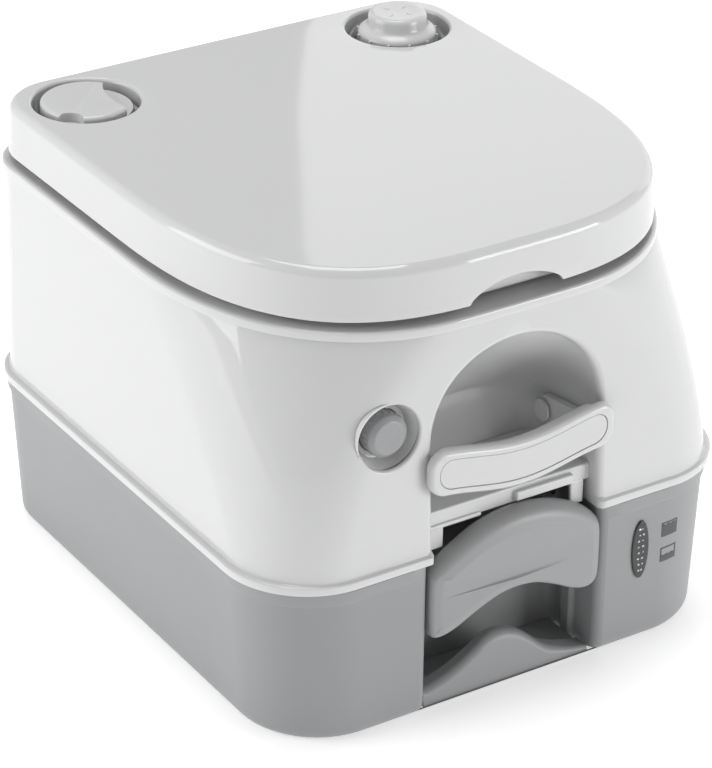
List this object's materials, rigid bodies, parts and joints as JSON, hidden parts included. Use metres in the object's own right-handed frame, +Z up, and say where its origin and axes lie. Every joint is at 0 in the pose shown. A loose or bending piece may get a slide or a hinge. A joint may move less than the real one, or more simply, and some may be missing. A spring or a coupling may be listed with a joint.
{
  "type": "cassette toilet",
  "caption": "Portable cassette toilet: white flush unit with bowl, seat and lid on a grey holding tank with a slide valve.",
  "frame": {"origin": "on the floor, under the middle of the body's bounding box", "axes": "+X to the right seen from the front, +Y to the back, +Z up; the front is at -Y"},
  "size_m": [0.343, 0.376, 0.308],
  "materials": {
    "white_shell": "glossy moulded plastic",
    "grey_tank": "satin moulded plastic with a fine grain",
    "grey_trim": "satin moulded plastic",
    "dark_trim": "dark glossy plastic",
    "dark_works": "matt dark plastic",
    "seal_rubber": "matt black rubber",
    "pale_works": "smooth pale plastic",
    "steel": "drawn stainless steel"
  },
  "bodies": {
    "base": {"holding_tank": "grey_tank", "foot_tab": "grey_tank", "valve_frame": "dark_works", "blade_seal": "seal_rubber", "level_lens": "dark_trim", "level_prisms": "pale_works", "pictogram_full": "dark_trim", "pictogram_half": "dark_trim", "spout_collar": "dark_works", "vent_valve": "dark_works", "vent_spring": "steel", "latch_bracket": "white_shell", "latch_pin": "steel", "upper_casing": "white_shell", "front_apron": "white_shell", "base_plate": "white_shell", "bowl": "white_shell", "outlet_seal": "seal_rubber", "button_bezel": "white_shell", "flush_valve": "dark_works", "flush_spring": "steel", "flush_hose": "pale_works", "rim_nozzle": "white_shell", "pump_cylinder": "white_shell", "fill_neck": "white_shell", "hinge_bracket_left": "white_shell", "hinge_pin_left": "steel", "handle_pin_left": "grey_trim", "hinge_bracket_right": "white_shell", "hinge_pin_right": "steel", "handle_pin_right": "grey_trim"},
    "seat": {"seat": "white_shell", "seat_bumper_1": "seal_rubber", "seat_bumper_2": "seal_rubber", "seat_bumper_3": "seal_rubber", "seat_bumper_4": "seal_rubber"},
    "lid": {"lid": "white_shell", "lid_bumper_1": "seal_rubber", "lid_bumper_2": "seal_rubber"},
    "carry_handle": {"carry_handle": "white_shell", "handle_insert": "white_shell"},
    "flush_button": {"flush_button": "grey_trim"},
    "pump": {"pump_knob": "white_shell", "pump_rod": "steel", "pump_piston": "dark_works", "piston_seal": "seal_rubber"},
    "fill_cap": {"fill_cap": "white_shell", "fill_cap_seal": "seal_rubber"},
    "slide_valve": {"valve_handle": "grey_trim", "valve_blade": "pale_works"},
    "spout": {"pour_spout": "grey_trim"},
    "spout_cap": {"spout_cap": "dark_works", "spout_cap_seal": "seal_rubber"},
    "vent_button": {"vent_button": "dark_works"},
    "rear_latch": {"rear_latch": "grey_trim"}
  },
  "joints": [
    {"name": "seat_hinge", "type": "hinge", "parent": "base", "child": "seat", "pos_m": [0, 0.169, 0.27], "axis": [-1, 0, 0], "range_deg": [0, 90]},
    {"name": "lid_hinge", "type": "hinge", "parent": "seat", "child": "lid", "pos_m": [0, 0.169, 0.27], "axis": [1, 0, 0], "range_deg": [-95, 0]},
    {"name": "carry_handle_pivot", "type": "hinge", "parent": "base", "child": "carry_handle", "pos_m": [0, -0.134, 0.154], "axis": [1, 0, 0], "range_deg": [0, 12]},
    {"name": "flush_button_press", "type": "slide", "parent": "base", "child": "flush_button", "axis": [0, 1, 0], "range_m": [0, 0.006], "stiffness_N_per_m": 400, "springref_m": -0.002, "deforming": ["flush_spring"]},
    {"name": "pump_stroke", "type": "slide", "parent": "base", "child": "pump", "axis": [0, 0, 1], "range_m": [0, 0.05]},
    {"name": "fill_cap_twist", "type": "hinge", "parent": "base", "child": "fill_cap", "pos_m": [-0.116, 0.131, 0.285], "axis": [0, 0, 1], "range_deg": [0, 90]},
    {"name": "slide_valve_pull", "type": "slide", "parent": "base", "child": "slide_valve", "axis": [0, -1, 0], "range_m": [0, 0.1]},
    {"name": "spout_swivel", "type": "hinge", "parent": "base", "child": "spout", "pos_m": [0.055, 0.15, 0.074], "axis": [0, 0, 1], "range_deg": [0, 90]},
    {"name": "spout_cap_twist", "type": "hinge", "parent": "spout", "child": "spout_cap", "pos_m": [0.13, 0.15, 0.074], "axis": [1, 0, 0], "range_deg": [0, 180]},
    {"name": "vent_button_press", "type": "slide", "parent": "base", "child": "vent_button", "axis": [0, -1, 0], "range_m": [0, 0.003], "stiffness_N_per_m": 300, "springref_m": -0.002, "deforming": ["vent_spring"]},
    {"name": "rear_latch_pivot", "type": "hinge", "parent": "base", "child": "rear_latch", "pos_m": [0, 0.1856, 0.138], "axis": [1, 0, 0], "range_deg": [0, 60]}
  ]
}
